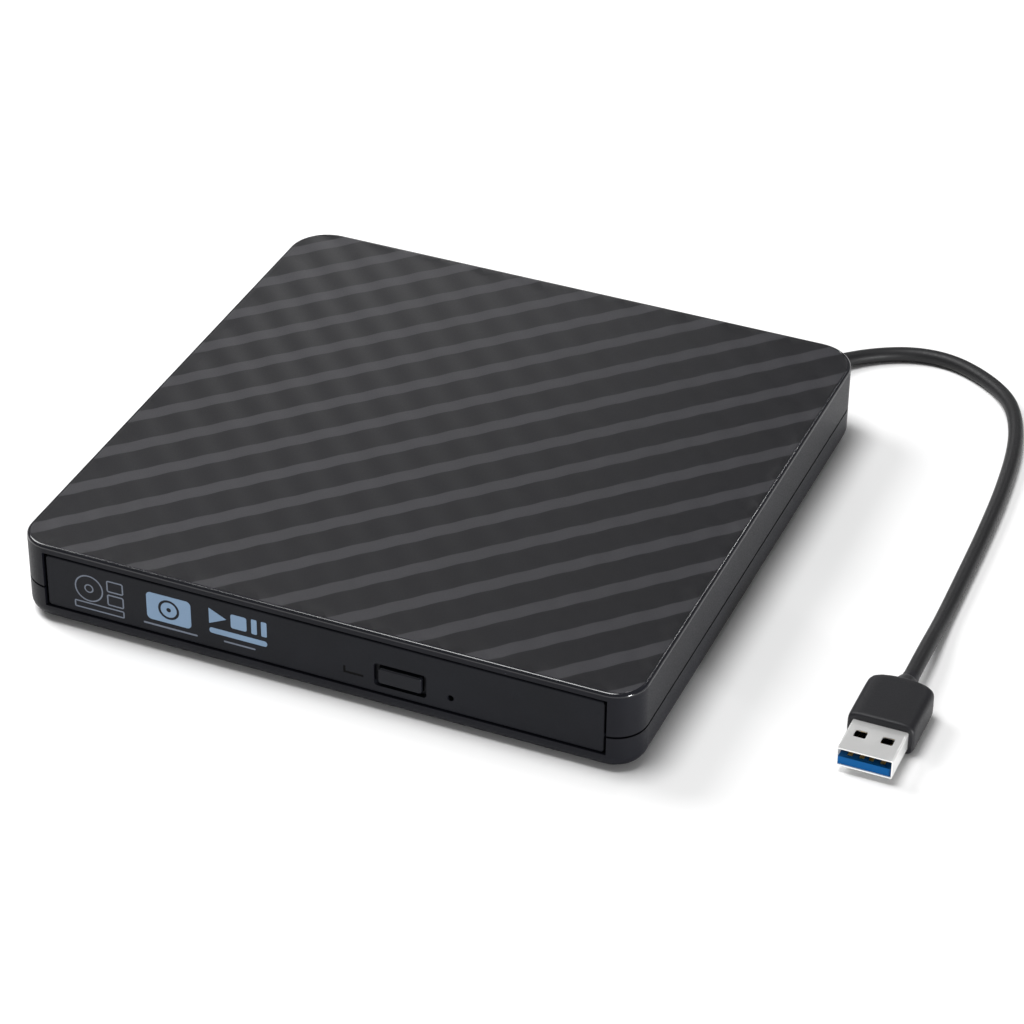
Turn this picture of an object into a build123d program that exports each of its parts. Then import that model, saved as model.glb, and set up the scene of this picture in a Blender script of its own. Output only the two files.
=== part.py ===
"""External slim optical drive: a two-shell case around a slim tray drive, with its USB lead and plug.

Millimetres. +X runs right along the front, +Y from the front to the back, +Z up. The origin is on the
surface that the feet stand on, under the middle of the case. Everything is drawn with the tray shut.
"""
import os
from math import cos, pi, radians, sin, tan

from build123d import *

os.makedirs("parts", exist_ok=True)

# ---------------------------------------------------------------- driving dimensions

case_width = 142.0
case_depth = 144.0
case_top = 20.0
foot_drop = 0.6
front_corner = 7.0
rear_corner = 9.5
bottom_rounding = 3.0
top_rounding = 0.8
wall = 1.6
roof = 1.5
base_thickness = 1.8
seam_height = 9.0
seam_gap = 0.5
tongue_rise = 1.4
fit_gap = 0.05

opening_half_width = 64.65
opening_z = (4.3, 18.1)

drive_front = -67.4
drive_back = 58.6
drive_half_width = 63.9
drive_z = (4.65, 17.35)
sheet = 0.6
lid_sheet = 0.5

disc_y = -5.5
disc_recess_radius = 61.0
disc_seat_z = 14.3

foot_spots = [(61.5, -62.5), (-61.5, -62.5), (61.5, 62.5), (-61.5, 62.5)]
screw_spots = foot_spots[2:]
foot_radius = 4.5

cord_diameter = 3.5

case_front = -case_depth / 2
case_back = case_depth / 2
base_top = foot_drop + base_thickness
roof_under = case_top - roof
seam_low = seam_height - seam_gap / 2
seam_high = seam_height + seam_gap / 2

# The pick-up runs slantwise from the spindle towards the front left corner. On this plane x is the
# distance from the spindle along that run, y is across it, and heights are the same as elsewhere.
slant = Plane(origin=(0, disc_y, 0), x_dir=(-1, -1, 0), z_dir=(0, 0, 1))


# ---------------------------------------------------------------- helpers

def save(piece, name):
    """Label a finished piece and write it to its own file."""
    piece.part.label = name
    export_step(piece.part, f"parts/{name}.step")


def slab(x, y, z, corner=0.0, base=Plane.XY, mode=Mode.ADD):
    """Add or cut an upright block between the low and high values of x, y and z."""
    with BuildSketch(base.offset(z[0])) as outline:
        with Locations(((x[0] + x[1]) / 2, (y[0] + y[1]) / 2)):
            if corner:
                RectangleRounded(x[1] - x[0], y[1] - y[0], corner)
            else:
                Rectangle(x[1] - x[0], y[1] - y[0])
    extrude(outline.sketch, amount=z[1] - z[0], mode=mode)


def drum(spot, radius, z, bore=0.0, base=Plane.XY, mode=Mode.ADD):
    """Add or cut an upright round post or ring."""
    with BuildSketch(base.offset(z[0])) as outline:
        with Locations(spot):
            Circle(radius)
            if bore:
                Circle(bore, mode=Mode.SUBTRACT)
    extrude(outline.sketch, amount=z[1] - z[0], mode=mode)


def prism(points, z, base=Plane.XY, mode=Mode.ADD):
    """Add or cut an upright prism over a closed run of points."""
    with BuildSketch(base.offset(z[0])) as outline:
        with BuildLine():
            Polyline(*points, close=True)
        make_face()
    extrude(outline.sketch, amount=z[1] - z[0], mode=mode)


def facing(y):
    """A plane at depth y, seen from the front: x runs right, y runs up, and z comes forward."""
    return Plane(origin=(0, y, 0), x_dir=(1, 0, 0), z_dir=(0, -1, 0))


def plate(x, z, y, corner=0.0, mode=Mode.ADD):
    """Add or cut a block drawn on its front view, so that its corners in x and z can be rounded."""
    with BuildSketch(facing(y[1])) as outline:
        with Locations(((x[0] + x[1]) / 2, (z[0] + z[1]) / 2)):
            if corner:
                RectangleRounded(x[1] - x[0], z[1] - z[0], corner)
            else:
                Rectangle(x[1] - x[0], z[1] - z[0])
    extrude(outline.sketch, amount=y[1] - y[0], mode=mode)


def pin_along_y(x, z, radius, y, bore=0.0, mode=Mode.ADD):
    """Add or cut a round bar or tube that runs from front to back."""
    with BuildSketch(facing(y[1])) as outline:
        with Locations((x, z)):
            Circle(radius)
            if bore:
                Circle(bore, mode=Mode.SUBTRACT)
    extrude(outline.sketch, amount=y[1] - y[0], mode=mode)


def pin_along_slant(across, z, radius, along, mode=Mode.ADD):
    """Add or cut a round bar that runs with the pick-up."""
    start = slant.from_local_coords((along[0], across, z))
    section = Plane(origin=start, z_dir=slant.x_dir)
    with BuildSketch(section) as outline:
        Circle(radius)
    extrude(outline.sketch, amount=along[1] - along[0], mode=mode)


def case_prism(inset, z, mode=Mode.ADD):
    """Add or cut the plan shape of the case, moved inwards by inset."""
    with BuildSketch(Plane.XY.offset(z[0])) as outline:
        Rectangle(case_width - 2 * inset, case_depth - 2 * inset)
        fillet(outline.vertices().group_by(Axis.Y)[0], front_corner - inset)
        fillet(outline.vertices().group_by(Axis.Y)[-1], rear_corner - inset)
    extrude(outline.sketch, amount=z[1] - z[0], mode=mode)


# ---------------------------------------------------------------- case

boss_radius = 2.8
boss_z = (5.3, roof_under)
screw_pilot = 1.0
opening_depth = 4.0

with BuildPart() as top_cover:
    case_prism(0, (seam_high, case_top))
    fillet(top_cover.faces().sort_by(Axis.Z)[-1].edges(), top_rounding)
    case_prism(wall, (seam_high, roof_under), mode=Mode.SUBTRACT)
    case_prism(wall / 2, (seam_high, seam_low + tongue_rise + fit_gap), mode=Mode.SUBTRACT)
    for spot in screw_spots:
        drum(spot, boss_radius, boss_z)
        drum(spot, screw_pilot, (boss_z[0], boss_z[1] - 1), mode=Mode.SUBTRACT)
    plate((-opening_half_width, opening_half_width), opening_z, (case_front, case_front + opening_depth),
          mode=Mode.SUBTRACT)
save(top_cover, "top_cover")

seat_z = 1.5
rib_spots = [-42.0, -21.0, 21.0, 42.0]
rib_half = 0.6
rib_y = (-60.0, 54.0)
board_z = (3.4, 4.4)
board_post_radius = 1.6
bracket_post_radius = 2.4
bracket_post_top = 4.4
bracket_pilot = 0.8
screw_post_radius = 3.4
screw_post_top = 5.2
screw_ledge = 3.2
head_bore = 2.1
shank_bore = 1.2
cord_exit_x = 54.8
cord_exit_z = 5.5
gland_hole = 2.6
board_post_spots = [(10.0, 64.0), (31.0, 66.6), (50.0, 62.0)]
bracket_spots = [(-46.0, 63.0), (-28.0, 63.0)]

with BuildPart() as bottom_shell:
    case_prism(0, (foot_drop, seam_low))
    fillet(bottom_shell.faces().sort_by(Axis.Z)[0].edges(), bottom_rounding)
    case_prism(wall, (base_top, seam_low), mode=Mode.SUBTRACT)
    case_prism(wall / 2 + fit_gap, (seam_low, seam_low + tongue_rise))
    case_prism(wall, (seam_low, seam_low + tongue_rise), mode=Mode.SUBTRACT)
    for x in rib_spots:
        slab((x - rib_half, x + rib_half), rib_y, (base_top, drive_z[0] - fit_gap))
    for spot in board_post_spots:
        drum(spot, board_post_radius, (base_top, board_z[0]))
    for spot in bracket_spots:
        drum(spot, bracket_post_radius, (base_top, bracket_post_top))
        drum(spot, bracket_pilot, (base_top, bracket_post_top), mode=Mode.SUBTRACT)
    for spot in foot_spots:
        drum(spot, foot_radius + 0.1, (foot_drop, seat_z), mode=Mode.SUBTRACT)
    for spot in screw_spots:
        drum(spot, screw_post_radius, (base_top, screw_post_top))
        drum(spot, head_bore, (seat_z, screw_ledge), mode=Mode.SUBTRACT)
        drum(spot, shank_bore, (screw_ledge, screw_post_top), mode=Mode.SUBTRACT)
    plate((-opening_half_width, opening_half_width), opening_z, (case_front, case_front + opening_depth),
          mode=Mode.SUBTRACT)
    pin_along_y(cord_exit_x, cord_exit_z, gland_hole, (case_back - 2.5, case_back), mode=Mode.SUBTRACT)
save(bottom_shell, "bottom_shell")

with BuildPart() as rubber_feet:
    for spot in foot_spots:
        drum(spot, foot_radius, (0, seat_z - fit_gap))
    chamfer(rubber_feet.faces().group_by(Axis.Z)[0].edges(), 0.3)
save(rubber_feet, "rubber_feet")

head_low = 1.7
head_high = screw_ledge - fit_gap
head_radius = 1.9
driver_recess = (0.8, 2.5)
shank_radius = 0.95
shank_top = 12.0

with BuildPart() as case_screws:
    for spot in screw_spots:
        drum(spot, head_radius, (head_low, head_high))
        drum(spot, shank_radius, (head_high, shank_top))
        drum(spot, driver_recess[0], (head_low, driver_recess[1]), mode=Mode.SUBTRACT)
save(case_screws, "case_screws")

# ---------------------------------------------------------------- USB bridge board and lead

board_x = (6.0, 57.3)
board_y = (59.6, 68.2)
socket_x = (14.0, 48.0)
socket_y = (58.95, 64.2)
socket_mouth_end = 62.6
socket_tongue_z = (8.7, 9.5)
bridge_chip = ((23.5, 29.5), (64.8, 67.8), 0.9)
bridge_crystal = ((34.0, 37.2), (65.2, 67.7), 1.2)
small_part_spots = (9.0, 10.6, 12.2, 40.5, 42.1, 43.7)
small_part_y = (65.4, 67.0)
small_part_half = 0.4
small_part_height = 0.6
capacitor_spot = (18.5, 66.2)
capacitor_radius = 1.4
capacitor_height = 2.8

with BuildPart() as bridge_board:
    slab(board_x, board_y, board_z, corner=0.8)
save(bridge_board, "bridge_board")

with BuildPart() as bridge_parts:
    for x, y, height in (bridge_chip, bridge_crystal):
        slab(x, y, (board_z[1], board_z[1] + height))
    for x in small_part_spots:
        slab((x - small_part_half, x + small_part_half), small_part_y,
             (board_z[1], board_z[1] + small_part_height))
    drum(capacitor_spot, capacitor_radius, (board_z[1], board_z[1] + capacitor_height))
save(bridge_parts, "bridge_parts")

with BuildPart() as bridge_socket:
    plate(socket_x, (board_z[1], 11.3), socket_y, corner=0.5)
    plate((socket_x[0] + 1.2, socket_x[1] - 1.2), (7.6, 10.6), (socket_y[0], socket_mouth_end),
          mode=Mode.SUBTRACT)
    for tongue_x in ((socket_x[0] + 2.4, 21.5), (24.0, socket_x[1] - 2.4)):
        plate(tongue_x, socket_tongue_z, (socket_y[0], socket_mouth_end))
save(bridge_socket, "bridge_socket")

gland_end = case_back + 4.0
gland_inner = 68.6

with BuildPart() as cable_gland:
    with BuildSketch(Plane.XY.offset(cord_exit_z)) as gland_half:
        with BuildLine():
            Polyline(
                (cord_exit_x, gland_inner),
                (cord_exit_x + 2.8, gland_inner),
                (cord_exit_x + 2.8, case_back - wall - fit_gap),
                (cord_exit_x + gland_hole - fit_gap, case_back - wall - fit_gap),
                (cord_exit_x + gland_hole - fit_gap, case_back + 0.1),
                (cord_exit_x + 2.9, case_back + 0.1),
                (cord_exit_x + 2.8, case_back + 1.2),
                (cord_exit_x + 2.2, gland_end),
                (cord_exit_x, gland_end),
                close=True,
            )
        make_face()
    revolve(gland_half.sketch, axis=Axis((cord_exit_x, 0, cord_exit_z), (0, 1, 0)))
save(cable_gland, "cable_gland")

wire_radius = 0.4
wire_offsets = (-1.5, -0.5, 0.5, 1.5)
wire_end = 66.2
wire_z = 5.4
with BuildPart() as cable_wires:
    for x in wire_offsets:
        pin_along_y(cord_exit_x + x, wire_z, wire_radius, (wire_end, gland_inner))
        drum((cord_exit_x + x, wire_end + 0.2), wire_radius + 0.05, (board_z[1], wire_z - 0.3))
save(cable_wires, "cable_wires")

# The lead leaves the gland, drops to the surface, swings right round the rear corner and comes
# forward beside the case to the plug.
plug_x = 113.6
plug_z = 4.0
plug_relief_end = -21.5
cord_z = cord_diameter / 2 + 0.01
cord_points = [
    (cord_exit_x, gland_end, cord_exit_z),
    (55.2, 84.2, 4.6),
    (58.6, 92.2, 2.3),
    (66.0, 99.8, cord_z),
    (75.2, 104.4, cord_z),
    (84.5, 104.6, cord_z),
    (93.6, 100.4, cord_z),
    (101.0, 94.3, cord_z),
    (105.4, 86.2, cord_z),
    (108.7, 74.3, cord_z),
    (110.8, 57.3, cord_z),
    (111.9, 39.0, cord_z),
    (112.5, 20.5, cord_z),
    (113.0, 2.5, cord_z),
    (113.5, -12.0, 3.9),
    (plug_x, plug_relief_end, plug_z),
]
cord_route = [Vector(*point) for point in cord_points]
cord_radii = []
for before, corner, after in zip(cord_route, cord_route[1:], cord_route[2:]):
    turn = (corner - before).get_angle(after - corner)
    shorter = min((corner - before).length, (after - corner).length)
    cord_radii.append(0.45 * shorter / tan(radians(turn) / 2))

with BuildPart() as cord:
    with BuildLine() as cord_line:
        FilletPolyline(*cord_route, radius=cord_radii)
    with BuildSketch(Plane(origin=cord_route[0], z_dir=cord_route[1] - cord_route[0])) as cord_section:
        Circle(cord_diameter / 2)
    sweep(cord_section.sketch, path=cord_line.wire())
save(cord, "cord")

cord_length = cord_line.wire().length
cord_section_area = pi * cord_diameter ** 2 / 4
print("cord radii", [round(radius, 1) for radius in cord_radii])
print("cord length", round(cord_length, 1), "volume", round(cord.part.volume, 1),
      "section x length", round(cord_section_area * cord_length, 1))

plug_front = -42.8
plug_back = -28.2
plug_half_width = 7.3
plug_half_height = 4.0
shell_tip = -53.0
shell_half_width = 6.0
shell_half_height = 2.25
shell_sheet = 0.3
shell_end = plug_front + 8.9
shell_bore_end = plug_front + 9
window_offset = 2.9
window_half = 1.3
window_y = (-48.2, -45.9)
window_corner = 0.35
tongue_top = -0.1
tongue_base_front = -44.2
contact_offsets = (-3.5, -1.0, 1.0, 3.5)
contact_half = 0.5
contact_y = (-51.8, -44.4)


def plug_x_span(half):
    """The span of x that is centred on the plug's axis."""
    return (plug_x - half, plug_x + half)


def plug_z_span(low, high):
    """The span of z between two heights above the plug's axis."""
    return (plug_z + low, plug_z + high)


with BuildPart() as plug_overmold:
    plate(plug_x_span(plug_half_width), plug_z_span(-plug_half_height, plug_half_height),
          (plug_front, plug_back), corner=2.4)
    fillet(plug_overmold.faces().sort_by(Axis.Y)[-1].edges(), 2.3)
    with BuildSketch(facing(plug_back - 0.5)) as relief_root:
        with Locations((plug_x, plug_z)):
            Circle(3.1)
    with BuildSketch(facing(plug_relief_end)) as relief_tip:
        with Locations((plug_x, plug_z)):
            Circle(2.3)
    loft([relief_tip.sketch.face(), relief_root.sketch.face()])
    plate(plug_x_span(shell_half_width + 0.35), plug_z_span(-2.6, 2.6), (plug_front, plug_front + 1.2),
          corner=0.8, mode=Mode.SUBTRACT)
    plate(plug_x_span(shell_half_width + 0.02), plug_z_span(-2.27, 2.27),
          (plug_front, shell_bore_end), mode=Mode.SUBTRACT)
save(plug_overmold, "plug_overmold")

with BuildPart() as plug_shell:
    plate(plug_x_span(shell_half_width), plug_z_span(-shell_half_height, shell_half_height),
          (shell_tip, shell_end))
    fillet(plug_shell.edges().filter_by(Axis.Y), 0.4)
    plate(plug_x_span(shell_half_width - shell_sheet),
          plug_z_span(-shell_half_height + shell_sheet, shell_half_height - shell_sheet),
          (shell_tip, shell_end), mode=Mode.SUBTRACT)
    for side in (-1, 1):
        window_x = plug_x + side * window_offset
        for height in (-shell_half_height, shell_half_height):
            slab((window_x - window_half, window_x + window_half), window_y,
                 plug_z_span(height - 0.5, height + 0.5), corner=window_corner, mode=Mode.SUBTRACT)
save(plug_shell, "plug_shell")

with BuildPart() as plug_tongue:
    plate(plug_x_span(shell_half_width - shell_sheet - 0.02),
          plug_z_span(-shell_half_height + shell_sheet + 0.01, tongue_top),
          (shell_tip + 0.3, shell_end - 0.1))
    plate(plug_x_span(shell_half_width - shell_sheet - 0.02),
          plug_z_span(tongue_top, shell_half_height - shell_sheet - 0.02),
          (tongue_base_front, shell_end - 0.1))
save(plug_tongue, "plug_tongue")

with BuildPart() as plug_contacts:
    for x in contact_offsets:
        slab((plug_x + x - contact_half, plug_x + x + contact_half), contact_y,
             plug_z_span(tongue_top, tongue_top + 0.15))
save(plug_contacts, "plug_contacts")

# ---------------------------------------------------------------- chassis of the slim drive

inner_half_width = drive_half_width - sheet
pan_floor = drive_z[0] + sheet
lid_under = drive_z[1] - lid_sheet
post_spot = (47.0, -50.0)
main_board_x = (-22.0, 56.0)
main_board_y = (36.0, 57.6)
main_board_z = (6.3, 7.1)
main_board_posts = [(-18.0, 54.0), (52.0, 40.0), (-18.0, 40.0)]
chassis_screw_spots = [(side, y) for side in (-1, 1) for y in (-52.0, 44.0)]
chassis_screw_z = 15.0
chassis_screw_hole = 0.7
connector_opening_x = (13.4, 48.6)
connector_opening_z = (6.9, 11.8)
board_stand_radius = 1.8
lid_lip_z = 13.4


def cut_screw_holes():
    """Cut the holes for the drive's side screws through both walls."""
    for side, y in chassis_screw_spots:
        with BuildSketch(Plane(origin=(0, y, chassis_screw_z), z_dir=(side, 0, 0))) as screw_hole:
            Circle(chassis_screw_hole)
        extrude(screw_hole.sketch, amount=drive_half_width + 1, mode=Mode.SUBTRACT)


with BuildPart() as chassis_pan:
    slab((-drive_half_width, drive_half_width), (drive_front, drive_back), (drive_z[0], lid_under - fit_gap))
    slab((-inner_half_width, inner_half_width), (drive_front, drive_back - sheet),
         (pan_floor, lid_under), mode=Mode.SUBTRACT)
    plate(connector_opening_x, connector_opening_z, (drive_back - 2, drive_back), mode=Mode.SUBTRACT)
    for spot in main_board_posts:
        drum(spot, board_stand_radius, (pan_floor, main_board_z[0]))
    cut_screw_holes()
save(chassis_pan, "chassis_pan")

lid_inner_half_width = drive_half_width + 0.1
lip_half_width = lid_inner_half_width + lid_sheet
with BuildPart() as chassis_lid:
    slab((-lip_half_width, lip_half_width), (drive_front, drive_back), (lid_lip_z, drive_z[1]))
    slab((-lid_inner_half_width, lid_inner_half_width), (drive_front, drive_back),
         (lid_lip_z, lid_under), mode=Mode.SUBTRACT)
    cut_screw_holes()
save(chassis_lid, "chassis_lid")

bracket_x = (-51.0, -23.0)
bracket_y = (drive_back + fit_gap, 66.0)
bracket_z = (bracket_post_top + fit_gap, 12.0)
bracket_hole = 0.9

with BuildPart() as drive_bracket:
    slab(bracket_x, bracket_y, (bracket_z[0], bracket_z[0] + sheet))
    slab(bracket_x, (bracket_y[0], bracket_y[0] + sheet), bracket_z)
    for spot in bracket_spots:
        drum(spot, bracket_hole, (bracket_z[0], bracket_z[0] + sheet), mode=Mode.SUBTRACT)
save(drive_bracket, "drive_bracket")

side_head = (1.3, 0.5)
side_shank_radius = 0.6
bracket_head = (1.7, 0.95)
bracket_shank = (0.75, 2.55)

with BuildPart() as drive_screws:
    for side, y in chassis_screw_spots:
        with BuildSketch(Plane(origin=(side * lip_half_width, y, chassis_screw_z),
                               z_dir=(side, 0, 0))) as screw_head:
            Circle(side_head[0])
        extrude(screw_head.sketch, amount=side_head[1])
        with BuildSketch(Plane(origin=(side * inner_half_width, y, chassis_screw_z),
                               z_dir=(side, 0, 0))) as screw_shank:
            Circle(side_shank_radius)
        extrude(screw_shank.sketch, amount=lip_half_width - inner_half_width)
    for spot in bracket_spots:
        seat = bracket_z[0] + sheet
        drum(spot, bracket_head[0], (seat, seat + bracket_head[1]))
        drum(spot, bracket_shank[0], (seat - bracket_shank[1], seat))
save(drive_screws, "drive_screws")

with BuildPart() as main_board:
    slab(main_board_x, main_board_y, main_board_z)
save(main_board, "main_board")

board_face = main_board_z[1]
controller_chip = ((2.0, 11.0), (40.0, 49.0), 1.2)
memory_chip = ((-14.0, -8.0), (44.0, 50.0), 0.9)
driver_chip = ((22.0, 27.0), (40.0, 45.0), 1.0)
resistor_start = 32.0
resistor_pitch = 3.2
resistor_size = (1.4, 0.8, 0.6)
resistor_y = 41.0

with BuildPart() as main_board_parts:
    for x, y, height in (controller_chip, memory_chip, driver_chip):
        slab(x, y, (board_face, board_face + height))
    for step in range(6):
        x = resistor_start + resistor_pitch * step
        slab((x, x + resistor_size[0]), (resistor_y, resistor_y + resistor_size[1]),
             (board_face, board_face + resistor_size[2]))
save(main_board_parts, "main_board_parts")

connector_front = 52.6
connector_mouth_z = (7.9, 10.4)

with BuildPart() as drive_connector:
    plate(socket_x, (board_face, 11.4), (connector_front, drive_back))
    plate((socket_x[0] + 1.0, socket_x[1] - 1.0), connector_mouth_z, (connector_front + 2.4, drive_back),
          mode=Mode.SUBTRACT)
save(drive_connector, "drive_connector")

lock_post_radius = 1.5
lock_post_top = 9.0

with BuildPart() as lock_post:
    drum(post_spot, lock_post_radius, (pan_floor, lock_post_top))
save(lock_post, "lock_post")

# Each channel opens towards the tray: the guide holds the rail, and the rail holds the tray's tongue.
guide_half_widths = (61.2, inner_half_width - fit_gap)
guide_y = (-62.0, 52.0)
guide_z = (5.9, 12.0)
rail_half_widths = (59.8, 62.5)
rail_y = (-60.0, 54.0)
rail_z = (6.7, 11.2)
rail_sheet = 0.5
tongue_z = (7.5, 10.4)


def channel(side, half_widths, y, z, web):
    """Draw a channel on one side of the drive, open towards the middle, with a web of this thickness."""
    slab(sorted((side * half_widths[0], side * half_widths[1])), y, z)
    slab(sorted((side * half_widths[0], side * (half_widths[1] - web))), y,
         (z[0] + rail_sheet, z[1] - rail_sheet), mode=Mode.SUBTRACT)


with BuildPart() as rail_guides:
    for side in (-1, 1):
        channel(side, guide_half_widths, guide_y, guide_z, guide_half_widths[1] - 62.8)
save(rail_guides, "rail_guides")

for side, name in ((-1, "left_rail"), (1, "right_rail")):
    with BuildPart() as rail:
        channel(side, rail_half_widths, rail_y, rail_z, rail_sheet)
    save(rail, name)

flex_x = (-14.0, 0.0)
flex_turn = -30.0
flex_ends = (36.5, 32.9)
flex_z = 5.70
flex_bend_radii = (0.38, 0.26)
with BuildPart() as flex_cable:
    slab(flex_x, (flex_turn, flex_ends[0]), (flex_z - flex_bend_radii[0], flex_z - flex_bend_radii[1]))
    slab(flex_x, (flex_turn, flex_ends[1]), (flex_z + flex_bend_radii[1], flex_z + flex_bend_radii[0]))
    with BuildSketch(Plane.YZ.offset(flex_x[0])) as flex_bend:
        with Locations((flex_turn, flex_z)):
            Circle(flex_bend_radii[0])
            Circle(flex_bend_radii[1], mode=Mode.SUBTRACT)
            Rectangle(1, 1, align=(Align.MIN, Align.CENTER), mode=Mode.SUBTRACT)
    extrude(flex_bend.sketch, amount=flex_x[1] - flex_x[0])
save(flex_cable, "flex_cable")

# ---------------------------------------------------------------- tray

tray_front = -67.3
tray_back = 57.0
tray_top = 15.6
deck_z = (12.0, 13.0)
deck_half_width = 62.7
skirt_half_width = 59.4
skirt_wall = 1.8
skirt_z = (6.6, 12.3)
skirt_front_wall = 2.0
tray_tongue_half_widths = (58.4, 61.7)
tray_tongue_y = (-60.0, 50.0)
mount_post_radius = 1.7
mount_pilot = (0.75, 11.2)
bottom_plate_z = (6.2, 6.6)
bottom_plate_back = 32.0
post_slot_x = (44.5, 49.5)
mount_spots = [(-13.5, -14.0), (-13.5, 14.0), (64.4, 0.0)]
damper_z = (6.7, 8.1)
traverse_z = (7.0, 7.8)

button_x = 18.7
button_z = 9.1
led_x = 8.0
hole_x = 30.1
hole_z = 8.0
barrel_x = -52.0
barrel_z = 9.2
barrel_y = (26.0, 56.6)
barrel_half_width = 2.6
barrel_bore = 1.4
front_hole_y = (tray_front - 1, tray_front + 3)

deck_window = [
    (-16.5, -7.5), (-7.5, -16.5), (5, -18), (50, -18), (59.5, -8),
    (59.5, 8), (50, 16.5), (-7.5, 16.5), (-16.5, 7.5),
]

with BuildPart() as tray_frame:
    slab((-deck_half_width, deck_half_width), (tray_front, tray_back), (skirt_z[1], tray_top), corner=2.0)
    slab((-skirt_half_width, skirt_half_width), (tray_front, tray_back), skirt_z)
    slab((-skirt_half_width + skirt_wall, skirt_half_width - skirt_wall),
         (tray_front + skirt_front_wall, tray_back), (skirt_z[0], deck_z[0]), mode=Mode.SUBTRACT)
    for side in (-1, 1):
        slab(sorted(side * half_width for half_width in tray_tongue_half_widths), tray_tongue_y, tongue_z)
    drum((0, disc_y), disc_recess_radius, (deck_z[1], tray_top), mode=Mode.SUBTRACT)
    prism(deck_window, (deck_z[0] - 1, tray_top), base=slant, mode=Mode.SUBTRACT)
    for spot in mount_spots:
        drum(spot, mount_post_radius, (damper_z[1] + fit_gap, deck_z[0] + 0.2), base=slant)
        drum(spot, mount_pilot[0], (damper_z[1], mount_pilot[1]), base=slant, mode=Mode.SUBTRACT)
    slab((barrel_x - barrel_half_width, barrel_x + barrel_half_width), barrel_y, (6.8, deck_z[0]))
    pin_along_y(barrel_x, barrel_z, barrel_bore, (barrel_y[0] + 2, barrel_y[1] + 1), mode=Mode.SUBTRACT)
    plate((button_x - 2.0, button_x + 2.0), (button_z - 1.8, button_z + 1.8), front_hole_y,
          mode=Mode.SUBTRACT)
    plate((led_x - 1.4, led_x + 1.4), (7.3, 9.7), front_hole_y, mode=Mode.SUBTRACT)
    pin_along_y(hole_x, hole_z, 0.9, front_hole_y, mode=Mode.SUBTRACT)
save(tray_frame, "tray_frame")

bezel_half_width = 64.1
bezel_z = (4.45, 17.4)
bezel_y = (-71.6, -67.6)
bezel_wall = 1.5
bezel_through = (bezel_y[0], bezel_y[0] + 3)
button_gap = 0.2
button_half = (4.9, 1.95)
pocket_half = (5.95, 2.85)
pocket_depth = 1.0
led_stroke = 0.45
led_corner = (6.0, 7.7)
led_reach = (4.3, 1.5)


def led_mark(grow, y, mode=Mode.ADD):
    """Add or cut the L-shaped bar of the light, grown all round by grow."""
    half = led_stroke / 2 + grow
    plate((led_corner[0] - half, led_corner[0] + led_reach[0] + grow),
          (led_corner[1] - half, led_corner[1] + half), y, mode=mode)
    plate((led_corner[0] - half, led_corner[0] + half),
          (led_corner[1] - half, led_corner[1] + led_reach[1] + grow), y, mode=mode)


with BuildPart() as bezel:
    plate((-bezel_half_width, bezel_half_width), bezel_z, bezel_y, corner=0.9)
    fillet(bezel.faces().sort_by(Axis.Y)[0].edges(), 0.35)
    plate((-bezel_half_width + bezel_wall, bezel_half_width - bezel_wall),
          (bezel_z[0] + bezel_wall, bezel_z[1] - bezel_wall), (bezel_y[0] + bezel_wall, bezel_y[1]),
          mode=Mode.SUBTRACT)
    plate((button_x - pocket_half[0], button_x + pocket_half[0]),
          (button_z - pocket_half[1], button_z + pocket_half[1]),
          (bezel_y[0], bezel_y[0] + pocket_depth), corner=0.7, mode=Mode.SUBTRACT)
    plate((button_x - button_half[0] - button_gap, button_x + button_half[0] + button_gap),
          (button_z - button_half[1] - button_gap, button_z + button_half[1] + button_gap),
          bezel_through, corner=0.7, mode=Mode.SUBTRACT)
    led_mark(fit_gap, bezel_through, mode=Mode.SUBTRACT)
    pin_along_y(hole_x, hole_z, 0.75, bezel_through, mode=Mode.SUBTRACT)
save(bezel, "bezel")

# Behind the bar a flange spreads the light, and a stem carries it from the light source on the board.
led_flange_y = (-69.3, -68.3)
led_stem_x = (7.0, 9.0)
led_stem_z = (7.5, 9.5)
led_stem_end = -64.9

with BuildPart() as led_window:
    led_mark(0, (bezel_y[0] + fit_gap, led_flange_y[1] - 0.5))
    plate((led_corner[0] - led_stroke / 2, led_stem_x[1] + 0.2), led_stem_z, led_flange_y)
    plate(led_stem_x, led_stem_z, (led_flange_y[1], led_stem_end))
save(led_window, "led_window")

bottom_plate_half_width = 58.6
bottom_plate_front = -66.4
post_slot_front = -53.5
mount_access_hole = 2.2

with BuildPart() as tray_bottom_plate:
    slab((-bottom_plate_half_width, bottom_plate_half_width), (bottom_plate_front, bottom_plate_back),
         bottom_plate_z)
    slab(post_slot_x, (post_slot_front, bottom_plate_back), bottom_plate_z, mode=Mode.SUBTRACT)
    for spot in mount_spots:
        drum(spot, mount_access_hole, bottom_plate_z, base=slant, mode=Mode.SUBTRACT)
save(tray_bottom_plate, "tray_bottom_plate")

tray_board_x = (2.0, 27.6)
tray_board_y = (led_stem_end, -50.0)

with BuildPart() as tray_board:
    slab(tray_board_x, tray_board_y, traverse_z)
save(tray_board, "tray_board")

switch_half_width = 2.2
switch_y = (-63.9, -60.4)
switch_z = (traverse_z[1], 11.0)
switch_bore = 0.95
switch_bore_depth = 1.6

with BuildPart() as eject_switch:
    plate((button_x - switch_half_width, button_x + switch_half_width), switch_z, switch_y)
    pin_along_y(button_x, button_z, switch_bore, (switch_y[0], switch_y[0] + switch_bore_depth),
                mode=Mode.SUBTRACT)
save(eject_switch, "eject_switch")

led_half = 0.8
led_y = (-64.6, -63.4)
led_z = (traverse_z[1], 9.2)

with BuildPart() as led:
    slab((led_x - led_half, led_x + led_half), led_y, led_z)
save(led, "led")

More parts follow.
